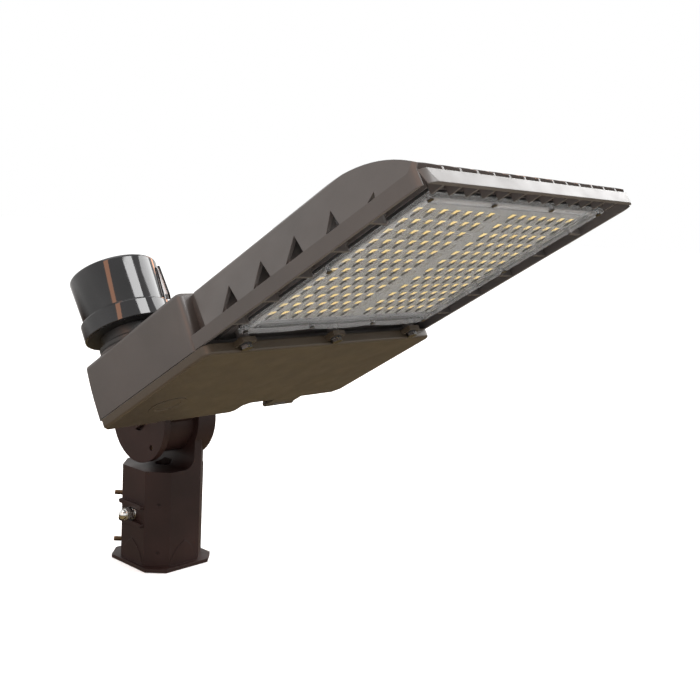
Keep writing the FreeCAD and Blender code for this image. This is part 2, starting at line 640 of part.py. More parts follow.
def side_skin(body):
    """Leaning skin and upright rim on the +X side, cut to the hump's curve and notched."""
    inner = BASE_HALF - 1
    lean = [(HALF_W - WALL, RIM_BOTTOM), (HALF_W, RIM_BOTTOM), (HALF_W, RIM_TOP),
            (SHOULDER, HUMP_TOP - 2), (SHOULDER - 2, HUMP_TOP),
            (inner, HUMP_TOP), (inner, HUMP_TOP - WALL),
            (SHOULDER - 4.5, HUMP_TOP - WALL - 1.5), (HALF_W - WALL, RIM_TOP)]
    skin = solid(body, "skin", "XZ_Plane", NOSE + 1, SKIN_REAR, [lean])
    behind = [(SKIN_REAR, HUMP_TOP), (SKIN_FOOT, RIM_TOP), (SKIN_REAR + 1, RIM_TOP),
              (SKIN_REAR + 1, HUMP_TOP)]
    end = solid(body, "skin_end", "YZ_Plane", SHOULDER - 5, HALF_W + 5, [behind], cut=True)
    front = NOSE - 5
    tip = hump_end(NOSE + 0.5)
    above = [(front, HUMP_TOP + 9), (front, tip), (NOSE + 0.5, tip, HUMP_R, False),
             (HUMP_FRONT, HUMP_TOP), (HUMP_FRONT, HUMP_TOP + 9)]
    trim = solid(body, "skin_trim", "YZ_Plane", inner - 1, HALF_W + 5, [above], cut=True)
    triangles = []
    for number, (rear, foot, apex, tall) in enumerate(NOTCHES):
        y = RIB_FIRST - RIB_PITCH * number
        triangles.append([(y - foot, RIM_TOP), (y + rear, RIM_TOP), (y - apex, RIM_TOP + tall)])
    notches = solid(body, "notches", "YZ_Plane", SHOULDER - 5, HALF_W + 5, triangles, cut=True)
    rim = solid(body, "rear_rim", "XZ_Plane", SKIN_REAR - 1, BOX_FRONT,
                [box(HALF_W - WALL, HALF_W, RIM_BOTTOM, RIM_TOP)])
    wall_x = dim("groove_wall_x", 136, "wall at the bottom of the groove beside the box")
    wall = solid(body, "groove_wall", "XY_Plane", RIM_TOP - 1, HUMP_TOP - 1,
                 [box(wall_x, wall_x + WALL, SKIN_FOOT - WALL, BOX_FRONT + 1)])
    slope = [(SKIN_REAR - 1, HUMP_TOP - WALL), (SKIN_FOOT - 1, RIM_TOP - 1),
             (SKIN_FOOT - 1 - WALL, RIM_TOP - 1), (SKIN_REAR - 1 - WALL, HUMP_TOP - WALL)]
    closing = solid(body, "skin_closing", "YZ_Plane", wall_x + 1, SHOULDER, [slope])
    floor = solid(body, "groove_floor", "XY_Plane", RIM_TOP - WALL, RIM_TOP,
                  [box(BASE_HALF - 1, HALF_W - 1, SKIN_FOOT - 8, BOX_FRONT)])
    return [skin, end, trim, notches, rim, wall, closing, floor]


def driver_box(body):
    """Hollow driver box with a leaning rear wall and a flat pad on it for the arm."""
    shell = solid(body, "box_shell", "XY_Plane", RIM_BOTTOM, BOX_TOP,
                  [soft_box(-HALF_W, HALF_W, BOX_FRONT, REAR, 7)])
    round_edges(body, "box_rounding", shell, 4,
                lambda e: e.BoundBox.ZMin > BOX_TOP.value - 0.1)
    lean = [(REAR, RIM_BOTTOM), (REAR + 1, RIM_BOTTOM), (REAR + 1, BOX_TOP + 1),
            (REAR - REAR_LEAN, BOX_TOP + 1)]
    for name, low, high in (("lean_left", -HALF_W - 1, ARM_MID - PAD_HALF),
                            ("lean_right", ARM_MID + PAD_HALF, HALF_W + 1)):
        solid(body, name, "YZ_Plane", low, high, [lean], cut=True)
    solid(body, "collar", "XY_Plane", BOX_TOP - 1, BOX_TOP + 1.5, [(CELL_X, CELL_Y, SOCKET_FLANGE_R + 1)])
    thick = WALL + 0.5
    inside = [(BOX_FRONT + WALL, RIM_BOTTOM), (REAR - thick, RIM_BOTTOM),
              (REAR - REAR_LEAN - thick, BOX_TOP - thick), (BOX_FRONT + WALL, BOX_TOP - thick)]
    solid(body, "box_cavity", "YZ_Plane", -HALF_W + thick, HALF_W - thick, [inside], cut=True)
    solid(body, "rear_sill", "XY_Plane", RIM_BOTTOM, RIM_BOTTOM + WALL,
          [box(NOTCH_X - 4, HALF_W - 3, NOTCH_Y - 5, REAR - 2)])


def housing_body():
    """Casting of the head: driver box, finned heat sink, side skins, rim and nose bar."""
    body = new_body("housing_casting", HEAD)
    driver_box(body)
    solid(body, "heat_base", "XY_Plane", BASE_BOTTOM, BASE_TOP,
          [box(-BASE_HALF, BASE_HALF, BASE_FRONT, BOX_FRONT + 1)])
    mirror(body, "skins_mirrored", side_skin(body))
    fin = under_hump(BOX_FRONT + 1, NOSE + 2, BASE_BOTTOM - 6, 0)
    fin[1] = (BASE_FRONT - 0.5, BASE_BOTTOM - 6)
    fin.insert(2, (BASE_FRONT - 0.5, BASE_TOP - 1))
    fin.insert(3, (BOX_FRONT + 1, BASE_TOP - 1))
    half_row = FIN_PITCH * ((FIN_COUNT - 1) / 2)
    first = solid(body, "fin", "YZ_Plane", -half_row - FIN_THICK / 2, -half_row + FIN_THICK / 2, [fin])
    repeat(body, "fins", first, "X_Axis", FIN_PITCH, FIN_COUNT)
    ribs(body)
    nose_bar(body)
    hinge_lugs(body)
    screw_bosses(body)
    return body


def ribs(body):
    """Upright webs inside the skins, each with a round bead along its free edge."""
    edge = BASE_HALF + 5
    made = []
    for number in range(RIB_COUNT):
        y = RIB_FIRST - RIB_PITCH * number
        top = RIM_TOP + RIB_TOPS[number]
        inward = (RIB_TOPS[number] * (HALF_W - SHOULDER)) / (HUMP_TOP - RIM_TOP)
        outline = [(edge, RIM_BOTTOM + 1), (HALF_W - 2, RIM_BOTTOM + 1), (HALF_W - 2, RIM_TOP),
                   (HALF_W - 2 - inward, top), (edge, top)]
        web = solid(body, "web_%d" % number, "XZ_Plane", y - FIN_THICK / 2, y + FIN_THICK / 2, [outline])
        bead = solid(body, "bead_%d" % number, "XY_Plane", RIM_BOTTOM + 1, top, [(edge, y, 1.9)])
        tie = solid(body, "tie_%d" % number, "XY_Plane", BASE_BOTTOM + 1, BASE_TOP,
                    [box(BASE_HALF - 1, edge + 1, y - FIN_THICK / 2, y + FIN_THICK / 2)])
        made += [web, bead, tie]
    mirror(body, "ribs_mirrored", made)


def nose_bar(body):
    """Bright bar across the nose, with a face that leans back."""
    bar_top = dim("nose_bar_top_z", -15, "top edge of the nose bar's face")
    bar = [(NOSE, RIM_BOTTOM), (NOSE + 4, RIM_BOTTOM), (NOSE + 6.5, bar_top), (NOSE + 2, bar_top)]
    solid(body, "nose_bar", "YZ_Plane", -HALF_W, HALF_W, [bar])
    corner = dim("nose_corner_radius", 15, "rounding of the nose's two corners")
    tip, edge = NOSE - 1, HALF_W + 1
    for name, sign in (("nose_corner_right", 1), ("nose_corner_left", -1)):
        outline = [(sign * edge, tip), (sign * edge, NOSE + corner),
                   (sign * HALF_W, NOSE + corner, corner, sign < 0), (sign * (HALF_W - corner), NOSE),
                   (sign * (HALF_W - corner), tip)]
        solid(body, name, "XY_Plane", RIM_BOTTOM - 1, HUMP_TOP, [outline], cut=True)


def hinge_lugs(body):
    """Two lugs under the rear wall that hold the door's hinge pins."""
    web = [(HINGE_Y - HINGE_R, HINGE_Z), (HINGE_Y + HINGE_R, HINGE_Z),
           (HINGE_Y + HINGE_R, RIM_BOTTOM - 1.2), (REAR - 1, RIM_BOTTOM + 1),
           (HINGE_Y - HINGE_R, RIM_BOTTOM + 1)]
    for name, middle in (("lug_right", HINGE_X), ("lug_left", -HINGE_X)):
        low, high = middle - LUG_HALF, middle + LUG_HALF
        solid(body, name + "_web", "YZ_Plane", low, high, [web])
        solid(body, name, "YZ_Plane", low, high, [(HINGE_Y, HINGE_Z, HINGE_R)])


def screw_bosses(body):
    """Three bosses in front of the driver box for the door's captive screws."""
    places = [(x, SCREW_Y, 5.5) for x in (-SCREW_X, size(0), SCREW_X)]
    solid(body, "bosses", "XY_Plane", RIM_BOTTOM - 0.5, BASE_BOTTOM + 1, places)


def lens_screw_places():
    """Ten screws through the lens frame."""
    side = LENS_HALF - 4
    front, rear = LENS_FRONT + 4, LENS_REAR - 4.5
    row = [(-side, front), (-42, front), (42, front), (side, front),
           (-side, rear), (-42, rear), (42, rear), (side, rear)]
    middle = (LENS_FRONT + LENS_REAR) / 2
    return row + [(-side, middle), (side, middle)]


def make_housing():
    """Housing with its drilled holes."""
    tools = [rod("cell_opening", CELL_HOLE, 20, HEAD, (CELL_X, CELL_Y, BOX_TOP - 15)),
             rod("cable_opening", 9.5, 16, HEAD, (ARM_MID, REAR - 12, 0), "Y"),
             rod("pin_opening_right", PIN_R, LUG_HALF * 2 + 2, HEAD,
                 (HINGE_X - LUG_HALF - 1, HINGE_Y, HINGE_Z), "X"),
             rod("pin_opening_left", PIN_R, LUG_HALF * 2 + 2, HEAD,
                 (-HINGE_X - LUG_HALF - 1, HINGE_Y, HINGE_Z), "X")]
    for number, (x, z) in enumerate(arm_places()):
        tools.append(rod("wall_bolt_hole_%d" % number, 3 + FIT, 16, HEAD, (x, REAR - 12, z), "Y"))
    for number, (x, y) in enumerate(lens_screw_places()):
        tools.append(rod("lens_hole_%d" % number, 1.6 + FIT, 5, HEAD, (x, y, BASE_BOTTOM - 1)))
    for number, x in enumerate((-SCREW_X, size(0), SCREW_X)):
        tools.append(rod("boss_hole_%d" % number, 2.5 + GAP, 9.5, HEAD, (x, SCREW_Y, RIM_BOTTOM - 2)))
    part(carve("housing", housing_body(), tools))


# ---------------------------------------------------------------- light engine
LED_COLUMNS = [column for column in range(-7, 8) if column != 0]
LED_ROWS = 12
LENS_BOW_R = dim("lens_bow_radius", 260, "radius of the lens's rear edge between its screws")


def lens_outline(inset):
    """Lens frame's outline: a rectangle whose rear edge bows out between the screws."""
    half, front, rear = LENS_HALF - inset, LENS_FRONT + inset, LENS_REAR - inset
    return [(-half, front), (half, front), (half, rear, LENS_BOW_R, True), (42, rear, LENS_BOW_R, True),
            (-42, rear, LENS_BOW_R, True), (-half, rear)]


def make_light_engine():
    """LED board, LEDs, gasket, lens and its screws."""
    board_front, board_rear = LED_FRONT - 8, LED_FRONT + LED_PITCH_Y * (LED_ROWS - 1) + 10
    part(brick("led_board", (-117, board_front, BASE_BOTTOM - 1.6), (117, board_rear, BASE_BOTTOM)))
    chips = []
    for column in LED_COLUMNS:
        for row in range(LED_ROWS):
            corner = Vector((LED_PITCH_X * column - LED_SIDE / 2).value,
                            (LED_FRONT + LED_PITCH_Y * row - LED_SIDE / 2).value,
                            BASE_BOTTOM.value - 2.4)
            chips.append(Part.makeBox(LED_SIDE.value, LED_SIDE.value, 0.8, corner))
    leds = doc.addObject("Part::Feature", "leds")
    leds.Shape = Part.Compound(chips)
    leds.Placement = HEAD
    part(leds)
    gasket = new_body("lens_gasket", HEAD)
    hole_row = [(x, y, 2) for x, y in lens_screw_places()]
    ring = [lens_outline(1), box(-118, 118, LENS_FRONT + 8, LENS_REAR - 8.5)]
    solid(gasket, "ring", "XY_Plane", LENS_BACK, BASE_BOTTOM, ring + hole_row)
    part(gasket)
    lens = new_body("lens_panel", HEAD)
    solid(lens, "plate", "XY_Plane", LENS_FACE, LENS_BACK, [lens_outline(0)])
    solid(lens, "recess", "XY_Plane", LENS_FACE, LENS_RECESS,
          [soft_box(-LENS_HALF + LENS_BORDER, LENS_HALF - LENS_BORDER, LENS_FRONT + LENS_BORDER,
                    LENS_REAR - LENS_BORDER - 1, 3)], cut=True)
    solid(lens, "screw_holes", "XY_Plane", LENS_FACE, LENS_BACK,
          [(x, y, 1.6 + FIT) for x, y in lens_screw_places()], cut=True)
    part(lens)
    screws = []
    for number, (x, y) in enumerate(lens_screw_places()):
        shank = rod("lens_shank_%d" % number, 1.6, BASE_BOTTOM - LENS_FACE + 3, HEAD, (x, y, LENS_FACE))
        head = rod("lens_head_%d" % number, 2.6, 1, HEAD, (x, y, LENS_FACE - 1))
        screws.append(fuse("lens_screw_%d" % number, [shank, head]))
    part(group("lens_screws", screws))


# ---------------------------------------------------------------- driver compartment
def make_inside():
    """Driver, surge protector, terminal block, cable grommet and their fixings."""
    roof = BOX_TOP - WALL - 0.5
    driver = new_body("led_driver", HEAD)
    solid(driver, "can", "XY_Plane", roof - 38, roof - 0.2, [soft_box(-70, 140, -262, -196, 4)])
    solid(driver, "feet", "XY_Plane", roof - 2.2, roof - 0.2, [soft_box(-82, 147, -250, -208, 3)])
    solid(driver, "foot_holes", "XY_Plane", roof - 3, roof, [(-76, -229, 2.3), (143.5, -229, 2.3)], cut=True)
    part(driver)
    screws = []
    for number, x in enumerate((-76, 143.5)):
        shank = rod("driver_shank_%d" % number, 2, 2.2, HEAD, (x, -229, roof - 2.3))
        head = rod("driver_head_%d" % number, 3.4, 2.4, HEAD, (x, -229, roof - 4.6))
        screws.append(fuse("driver_screw_%d" % number, [shank, head]))
    part(group("driver_screws", screws))
    surge = new_body("surge_protector", HEAD)
    solid(surge, "can", "XY_Plane", roof - 30, roof - 0.2, [soft_box(72, 136, -182, -146, 4)])
    part(surge)
    block = new_body("terminal_block", HEAD)
    solid(block, "base", "XY_Plane", roof - 14, roof - 0.2, [soft_box(-46, 22, -178, -152, 2)])
    solid(block, "towers", "XY_Plane", roof - 20, roof - 13, [box(-44, 20, -171, -159)])
    part(block)
    grommet = new_body("cable_grommet", HEAD, (ARM_MID, 0, 0))
    inner_face = REAR - REAR_LEAN - 2.2
    solid(grommet, "sleeve", "XZ_Plane", inner_face, REAR, [(0, 0, 9.5), (0, 0, 6)])
    solid(grommet, "collar", "XZ_Plane", inner_face - 3, inner_face, [(0, 0, 12.5), (0, 0, 6)])
    part(grommet)


# ---------------------------------------------------------------- driver door
def door_outline(inset):
    """Door's outline seen from below: a rectangle whose rear edge steps forward on the right."""
    left, right = -HALF_W + inset, HALF_W - inset
    corner, round_front = 6 - inset * 0.6, 8 - inset * 0.8
    front, rear, notch, step = DOOR_FRONT + inset, DOOR_REAR - inset, NOTCH_Y - inset, NOTCH_X - inset
    return [(left + round_front, front), (right - round_front, front, round_front, True),
            (right, front + round_front), (right, notch - 9), (right - 9, notch), (step + 5, notch),
            (step, notch + 5), (step, rear - corner), (step - corner, rear), (left + corner, rear),
            (left, rear - corner), (left, front + round_front, round_front, True)]


def hinge_range(middle, side):
    """Start and end of one door knuckle beside a housing lug."""
    inner = middle + side * (LUG_HALF + GAP)
    outer = middle + side * HINGE_HALF
    return (inner, outer) if side > 0 else (outer, inner)


def make_door():
    """Door tray with its hinge knuckles and lugs for the captive screws."""
    body = new_body("driver_door_casting", HEAD)
    tray = solid(body, "tray", "XY_Plane", DOOR_BOTTOM, DOOR_TOP, [door_outline(0)])
    round_edges(body, "tray_rounding", tray, 2.5,
                lambda e: e.BoundBox.ZMax < DOOR_BOTTOM.value + 0.1)
    solid(body, "hollow", "XY_Plane", DOOR_BOTTOM + 2.5, DOOR_TOP, [door_outline(WALL)], cut=True)
    tongue = box(HINGE_X - HINGE_HALF, HINGE_X + HINGE_HALF, NOTCH_Y - 1, HINGE_Y)
    solid(body, "tongue", "XY_Plane", DOOR_BOTTOM + 2.5, DOOR_BOTTOM + 5.5, [tongue])
    for name, middle in (("right", HINGE_X), ("left", -HINGE_X)):
        low, high = middle - LUG_HALF - GAP, middle + LUG_HALF + GAP
        clear = box(low, high, HINGE_Y - HINGE_R - GAP * 2, HINGE_Y + HINGE_R + 2)
        solid(body, "lug_space_" + name, "XY_Plane", DOOR_BOTTOM - 1, DOOR_TOP + 1, [clear], cut=True)
        for side in (-1, 1):
            start, end = hinge_range(middle, side)
            knuckle = [(HINGE_Y, HINGE_Z, HINGE_R)]
            solid(body, "knuckle_%s_%d" % (name, side + 1), "YZ_Plane", start, end, knuckle)
    lug_x = (-SCREW_X, size(0), SCREW_X)
    lugs = [box(x - 8, x + 8, SCREW_Y - 6.5, DOOR_FRONT + 1) for x in lug_x]
    solid(body, "screw_lugs", "XY_Plane", LUG_UNDER, RIM_BOTTOM - 1, lugs)
    tools = [rod("door_pin_right", PIN_R + FIT, HINGE_HALF * 2 + 2, HEAD,
                 (HINGE_X - HINGE_HALF - 1, HINGE_Y, HINGE_Z), "X"),
             rod("door_pin_left", PIN_R + FIT, HINGE_HALF * 2 + 2, HEAD,
                 (-HINGE_X - HINGE_HALF - 1, HINGE_Y, HINGE_Z), "X"),
             rod("sensor_port", PORT_R, 6, HEAD, (PORT_X, PORT_Y, DOOR_BOTTOM - 1))]
    for number, x in enumerate(lug_x):
        tools.append(rod("lug_hole_%d" % number, 2.5 + FIT, 12, HEAD, (x, SCREW_Y, DOOR_BOTTOM)))
    part(carve("driver_door", body, tools))


def make_door_hardware():
    """Door gasket, captive screws with their washers, sensor port plug and hinge pins."""
    gasket = new_body("door_gasket", HEAD)
    strip = [door_outline(WALL + 3.2), door_outline(WALL + 5.4)]
    solid(gasket, "strip", "XY_Plane", DOOR_BOTTOM + 2.5, DOOR_TOP + 0.1, strip)
    part(gasket)
    screws, washers = [], []
    for number, x in enumerate((-SCREW_X, size(0), SCREW_X)):
        shank = rod("door_shank_%d" % number, 2.5, 13, HEAD, (x, SCREW_Y, LUG_UNDER - 1.2))
        head = hexagon("door_head_%d" % number, 5.4, 3.4, HEAD, (x, SCREW_Y, LUG_UNDER - 4.6))
        screws.append(fuse("door_screw_%d" % number, [shank, head]))
        ring = rod("door_washer_disc_%d" % number, 5.6, 1.1, HEAD, (x, SCREW_Y, LUG_UNDER - 1.15))
        bore = rod("door_washer_bore_%d" % number, 2.5 + FIT, 3, HEAD, (x, SCREW_Y, LUG_UNDER - 2))
        washers.append(carve("door_washer_%d" % number, ring, [bore]))
    part(group("door_screws", screws))
    part(group("door_washers", washers))
    plug = new_body("sensor_port_plug", HEAD, (PORT_X, PORT_Y, 0))
    spin(plug, "plug_turn", [(0, DOOR_BOTTOM + 0.4), (PORT_R - 4, DOOR_BOTTOM + 0.4),
                             (PORT_R - 3.2, DOOR_BOTTOM - 0.5), (PORT_R + 2, DOOR_BOTTOM - 0.5),
                             (PORT_R + 2, DOOR_BOTTOM), (PORT_R - FIT, DOOR_BOTTOM),
                             (PORT_R - FIT, DOOR_BOTTOM + 6), (PORT_R - 2, DOOR_BOTTOM + 6),
                             (PORT_R - 2, DOOR_BOTTOM + 2.4), (0, DOOR_BOTTOM + 2.4)])
    part(plug)
    nut = new_body("sensor_plug_nut", HEAD, (PORT_X, PORT_Y, 0))
    solid(nut, "ring", "XY_Plane", DOOR_BOTTOM + 2.5, DOOR_BOTTOM + 5.5, [(0, 0, PORT_R + 4), (0, 0, PORT_R)])
    part(nut)
    pins = [rod("hinge_pin_%d" % number, PIN_R, HINGE_HALF * 2, HEAD,
                (middle - HINGE_HALF, HINGE_Y, HINGE_Z), "X")
            for number, middle in enumerate((HINGE_X, -HINGE_X))]
    part(group("hinge_pins", pins))


# ---------------------------------------------------------------- photocell and its receptacle
BLADE_R = dim("blade_circle_radius", 17, "circle that the twist-lock blades lie on")
BLADE_HEADINGS = (20, 140, 260)
SLOT_SPAN = dim("blade_slot_span", 44, "sweep of each blade slot, degrees")
CONTACT_TOP = CELL_SEAT - 16


def arc_slot(radius, width, start, span):
    """Outline of a curved slot about the origin."""
    inner, outer = radius - width / 2, radius + width / 2
    a, b = math.radians(start), math.radians(start + span)
    return [(outer * math.cos(a), outer * math.sin(a), outer, True),
            (outer * math.cos(b), outer * math.sin(b)),
            (inner * math.cos(b), inner * math.sin(b), inner, False),
            (inner * math.cos(a), inner * math.sin(a))]


def make_receptacle():
    """Seven-way receptacle: seal, moulded socket and its contacts."""
    where = (CELL_X, CELL_Y, 0)
    base = BOX_TOP + 1.5
    seal = new_body("receptacle_seal", HEAD, where)
    solid(seal, "ring", "XY_Plane", base, base + 1.5, [(0, 0, SOCKET_FLANGE_R), (0, 0, CELL_HOLE)])
    part(seal)
    socket = new_body("photocell_receptacle", HEAD, where)
    flange_low = base + 1.5 + GAP
    top = CELL_SEAT - GAP
    spin(socket, "socket_turn", [(0, BOX_TOP - 12), (SOCKET_R, BOX_TOP - 12), (SOCKET_R, flange_low),
                                 (SOCKET_FLANGE_R, flange_low), (SOCKET_FLANGE_R, flange_low + 4),
                                 (SOCKET_FLANGE_R - 4, flange_low + 6), (SOCKET_FLANGE_R - 4, top), (0, top)])
    slots = [arc_slot(BLADE_R, 4, heading - 3, SLOT_SPAN.value) for heading in BLADE_HEADINGS]
    solid(socket, "blade_slots", "XY_Plane", CONTACT_TOP - 2, top, slots, cut=True)
    part(socket)
    contacts = new_body("receptacle_contacts", HEAD, where)
    strips = [arc_slot(BLADE_R, 3.8, heading - 2, SLOT_SPAN.value - 2) for heading in BLADE_HEADINGS]
    solid(contacts, "strips", "XY_Plane", CONTACT_TOP - 2, CONTACT_TOP - 0.6, strips)
    part(contacts)
    for item in (seal, socket, contacts):
        item.AllowCompound = True


def make_photocell():
    """Twist-lock photocell: base with three blades, circuit board, cap, window and its shade."""
    where = (CELL_X, CELL_Y, 0)
    base = new_body("photocell_base", HEAD, where)
    low, high = CELL_SEAT, CELL_SEAT + 4
    solid(base, "disc", "XY_Plane", low, high, [(0, 0, SKIRT_R - 2 - FIT)])
    solid(base, "blade_holes", "XY_Plane", low - 1, high + 1,
          [arc_slot(BLADE_R, 2, heading, 24) for heading in BLADE_HEADINGS], cut=True)
    part(base)
    blades = new_body("photocell_blades", HEAD, where)
    solid(blades, "blades", "XY_Plane", CONTACT_TOP, high + 3,
          [arc_slot(BLADE_R, 1.6, heading + 0.5, 23) for heading in BLADE_HEADINGS])
    part(blades)
    board = new_body("photocell_board", HEAD, where)
    solid(board, "board", "XY_Plane", high + 3, high + 4.6, [(0, 0, 34)])
    solid(board, "relay", "XY_Plane", high + 4.6, high + 22, [box(-14, 8, -10, 10)])
    solid(board, "posts", "XY_Plane", high, high + 3, [(25, 12, 3), (-25, 12, 3), (0, -28, 3)])
    part(board)
    cap = new_body("photocell_cap", HEAD, where)
    wall = 2
    spin(cap, "cap_turn", [(CAP_LOW_R - wall, low + SKIRT_TALL), (SKIRT_R - wall, low + SKIRT_TALL - 3),
                           (SKIRT_R - wall, low), (SKIRT_R, low), (SKIRT_R, low + SKIRT_TALL - 1.5),
                           (CAP_LOW_R, low + SKIRT_TALL), (CAP_R, low + CAP_TALL - 3, 3, True),
                           (CAP_R - 3, low + CAP_TALL), (0, low + CAP_TALL), (0, low + CAP_TALL - wall),
                           (CAP_R - wall, low + CAP_TALL - wall)])
    part(cap)
    heading = WINDOW_TURN.value
    sill, height = low + SKIRT_TALL + 6, dim("window_height", 29, "height of the photocell's window")
    foot, out = CAP_LOW_R + 0.6, dim("window_reach", 3.2, "how far the window stands out at its foot")
    lintel = CAP_R - 0.2
    window = new_body("photocell_window", HEAD, where)
    wedge = [(foot, sill), (foot + out, sill), (lintel + 0.8, sill + height), (lintel, sill + height)]
    solid(window, "window", "XZ_Plane", -8, 8, [wedge], turn=heading)
    part(window)
    shade = new_body("window_shade", HEAD, where)
    plate = [(foot + out, sill), (foot + out + 1.8, sill), (lintel + 2.6, sill + height),
             (lintel + 2, sill + height + 1.6), (lintel, sill + height + 1.6), (lintel, sill + height),
             (lintel + 0.8, sill + height)]
    solid(shade, "shade", "XZ_Plane", -9.5, 9.5, [plate], turn=heading)
    part(shade)


# ---------------------------------------------------------------- build, test and write
make_fitter()
make_lock_stud()
make_pivot_bolt()
make_arm()
make_arm_hardware()
make_housing()
make_light_engine()
make_inside()
make_door()
make_door_hardware()
make_receptacle()
make_photocell()
doc.recompute()

for item in doc.Objects:
    if "Invalid" in item.State or "Error" in item.State:
        raise RuntimeError(item.Name + " failed: " + str(item.State))
for item in parts:
    if item.Shape.isNull() or not item.Shape.isValid() or item.Shape.Volume <= 0:
        raise RuntimeError(item.Label + " has no sound shape")

os.makedirs("parts", exist_ok=True)
for item in parts:
    item.Shape.exportStep("parts/" + item.Label + ".step")
    print("%-24s %3d solids %12.0f mm3" % (item.Label, len(item.Shape.Solids), item.Shape.Volume))
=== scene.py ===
"""Shoebox area light on a slip fitter: finishes, fine detail, studio and camera. Metres."""
import json
import math

import bmesh
import bpy
from mathutils import Matrix, Vector


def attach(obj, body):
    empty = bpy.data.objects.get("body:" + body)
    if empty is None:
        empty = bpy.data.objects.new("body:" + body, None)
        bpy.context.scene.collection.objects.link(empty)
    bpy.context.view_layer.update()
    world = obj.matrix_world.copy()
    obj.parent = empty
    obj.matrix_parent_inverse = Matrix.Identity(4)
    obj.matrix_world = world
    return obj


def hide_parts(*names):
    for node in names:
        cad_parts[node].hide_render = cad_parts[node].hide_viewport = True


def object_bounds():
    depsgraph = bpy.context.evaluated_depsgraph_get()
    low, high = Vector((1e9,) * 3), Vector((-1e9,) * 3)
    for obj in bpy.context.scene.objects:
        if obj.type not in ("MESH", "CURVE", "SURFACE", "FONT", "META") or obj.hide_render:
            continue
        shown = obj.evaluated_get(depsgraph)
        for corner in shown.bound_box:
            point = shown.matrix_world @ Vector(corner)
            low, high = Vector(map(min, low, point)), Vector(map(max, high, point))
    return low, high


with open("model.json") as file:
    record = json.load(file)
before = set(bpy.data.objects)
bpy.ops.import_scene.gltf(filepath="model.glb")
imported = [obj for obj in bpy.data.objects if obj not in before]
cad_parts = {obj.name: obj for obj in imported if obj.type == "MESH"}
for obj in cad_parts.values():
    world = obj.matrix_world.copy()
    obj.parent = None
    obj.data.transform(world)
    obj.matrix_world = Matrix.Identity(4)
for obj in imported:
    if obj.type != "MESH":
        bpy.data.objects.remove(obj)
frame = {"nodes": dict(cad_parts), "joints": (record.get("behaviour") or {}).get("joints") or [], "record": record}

CAD_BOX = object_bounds()
MM = 0.001
JOINTS = {joint["name"]: joint for joint in frame["joints"]}
PIVOT = Vector(JOINTS["tilt"]["pos_m"])
NOSE_UP = math.radians(-JOINTS["tilt"]["range_deg"][0])
LEAN = Matrix.Rotation(-NOSE_UP, 4, "X")
HEAD = Matrix.Translation(PIVOT) @ LEAN
CELL = Matrix.Translation(Vector(JOINTS["receptacle_turn"]["pos_m"])) @ LEAN

# surface of every finish
BUMP_DEPTH = 0.3 * MM
BEVEL_SAMPLES = 4
NOISE_MIDDLE = (0.3, 0.7)
PATCH_MIDDLE = (0.35, 0.65)
GLOSS_PATCHES = 3
GLOSS_SPREAD = 0.05

# light engine, in the head's frame
LED_COLUMNS = [column for column in range(-7, 8) if column]
LED_ROWS = 12
LED_PITCH = (15.6 * MM, 16.1 * MM)
LED_FRONT = -506.4 * MM
LED_BOARD = -20.6 * MM
LED_HALF = 3.3 * MM
LED_WINDOW = 3.0 * MM
LED_TALL = 0.7 * MM
LED_FRAME_RISE = 0.8
# half width and rise, in shares of LED_TALL, from the board to the middle of the window
LED_PROFILE = ((LED_HALF, 0.0), (LED_HALF, LED_FRAME_RISE), (LED_WINDOW * 1.04, LED_FRAME_RISE),
               (LED_WINDOW, 0.86), (LED_WINDOW * 0.7, 1.15), (0, 1.3))
OPTIC_PLATE = -24 * MM
OPTIC_HALF = (6.5 * MM, 6.9 * MM)
OPTIC_TALL = 1.8 * MM
OPTIC_SEGMENTS = 20
OPTIC_SQUARENESS = 2.8
# reach and rise, in shares of the dome's half width and height, from its foot to its dimpled top
OPTIC_PROFILE = ((1.0, 0.0), (0.96, 0.35), (0.82, 0.72), (0.55, 0.95), (0.25, 0.90), (0.0, 0.84))
# how far out a dome's face is, in shares of its half width, where it gets painted shade (-X side) or a painted
# highlight (+X side)
OPTIC_PAINTED_SHADE_SIDE = -0.74
OPTIC_PAINTED_HIGHLIGHT_SIDE = 0.80

# photocell cap, in the photocell's frame
SEAT = 47 * MM
SKIRT_RADIUS = 45.2 * MM
SKIRT_TALL = 19 * MM
SKIRT_LIP = 0.6 * MM
SKIRT_SLOPE = 1.5 * MM
SKIRT_CEILING = 3 * MM
SKIRT_ROUNDING = 1.2 * MM
CAP_LOW_RADIUS = 41.6 * MM
CAP_HIGH_RADIUS = 43.7 * MM
CAP_TALL = 65 * MM
CAP_WALL = 2 * MM
CAP_STEP = 1 * MM
CAP_ROUNDING = 3 * MM
CAP_SEGMENTS = 160

# tenon set screws, about the pole's axis
SET_RADIUS = 3 * MM
SET_REACH = (37.5 * MM, 55.6 * MM)
SET_LEVELS = (19.5 * MM, 75.5 * MM)
SET_HEADINGS = (45, 135)
THREAD_PITCH = 1 * MM
THREAD_DEPTH = 0.5 * MM
THREAD_SEGMENTS = 24
THREAD_STEPS = 8
THREAD_CHAMFER = 0.18
SET_SOCKET = (0.5, 0.46)
SET_SOCKET_DEEP = 1.6 * MM

# studio
FLOOR_HALF = 30
FLOOR_DROP = 0.5 * MM
FLOOR_GLOW = 0.32
SKY = ((0.0, (0.30, 0.22, 0.10)), (0.30, (0.22, 0.16, 0.08)), (0.39, (0.09, 0.06, 0.045)),
       (0.45, (1.0, 0.99, 0.97)), (0.62, (1.3, 1.28, 1.26)), (1.0, (0.8, 0.8, 0.8)))
WHITE = (1, 1, 1)
